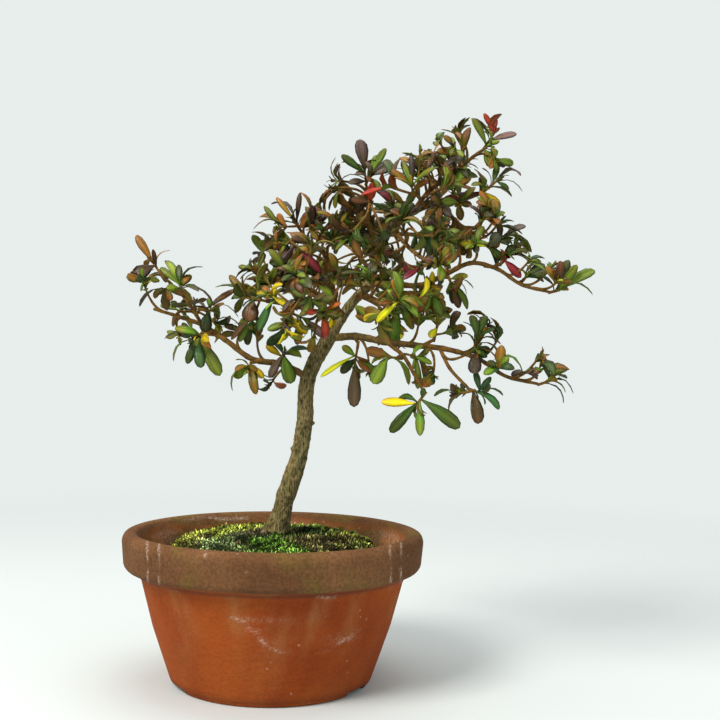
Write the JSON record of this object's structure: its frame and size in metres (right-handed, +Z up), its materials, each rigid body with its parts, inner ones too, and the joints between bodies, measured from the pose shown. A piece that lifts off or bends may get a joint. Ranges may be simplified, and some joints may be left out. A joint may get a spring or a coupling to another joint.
{
  "type": "potted bonsai",
  "caption": "Windswept azalea bonsai with a slim winding trunk, long side limbs and airy clusters of spatulate leaves, rooted in mossy soil in a round tapered unglazed clay training pot.",
  "frame": {"origin": "centre of the pot's underside, on the surface that the pot stands on", "axes": "+Z up along the pot's axis; +X to the right as the tree's front is seen, the way the crown leans and its longest limbs reach; -Y towards the front"},
  "size_m": [0.2755, 0.1936, 0.3422],
  "materials": {
    "terracotta": "matte",
    "net": "satin",
    "soil": "matte",
    "moss": "matte",
    "bark": "matte",
    "foliage": "satin"
  },
  "bodies": {
    "root": {"back_left_low_spray": "foliage", "back_left_spray": "foliage", "back_low_inner_spray": "foliage", "back_low_spray": "foliage", "back_middle_low_spray": "foliage", "back_middle_spray": "foliage", "back_right_low_spray": "foliage", "back_right_spray": "foliage", "back_top_spray": "foliage", "below_peak_spray": "foliage", "crest_front_spray": "foliage", "crest_right_spray": "foliage", "crest_tip_spray": "foliage", "crown_inner_spray": "foliage", "crown_left_spray": "foliage", "crown_tip_spray": "foliage", "drain_net_1": "net", "drain_net_2": "net", "drain_net_3": "net", "far_low_spray": "foliage", "far_right_side_spray": "foliage", "far_right_spray": "foliage", "front_left_low_spray": "foliage", "front_left_spray": "foliage", "front_middle_high_spray": "foliage", "front_middle_spray": "foliage", "front_right_high_spray": "foliage", "front_right_spray": "foliage", "knuckle_back_spray": "foliage", "knuckle_spray": "foliage", "left_back_spray": "foliage", "left_crest_spray": "foliage", "left_hanging_spray": "foliage", "left_knot_spray": "foliage", "left_lower_spray": "foliage", "left_middle_spray": "foliage", "left_outer_spray": "foliage", "left_tip_low_spray": "foliage", "left_tip_spray": "foliage", "low_front_spray": "foliage", "low_right_upright_spray": "foliage", "low_side_spray": "foliage", "low_tip_spray": "foliage", "lowest_spray": "foliage", "moss": "moss", "olive_spray": "foliage", "peak_spray": "foliage", "pot": "terracotta", "red_leaf_spray": "foliage", "right_hanging_spray": "foliage", "right_lower_spray": "foliage", "right_spray": "foliage", "right_upper_spray": "foliage", "soil": "soil", "spiky_spray": "foliage", "trunk_and_branches": "bark", "trunk_front_spray": "foliage", "trunk_side_spray": "foliage", "upper_right_spray": "foliage", "yellow_spray": "foliage"}
  },
  "joints": []
}
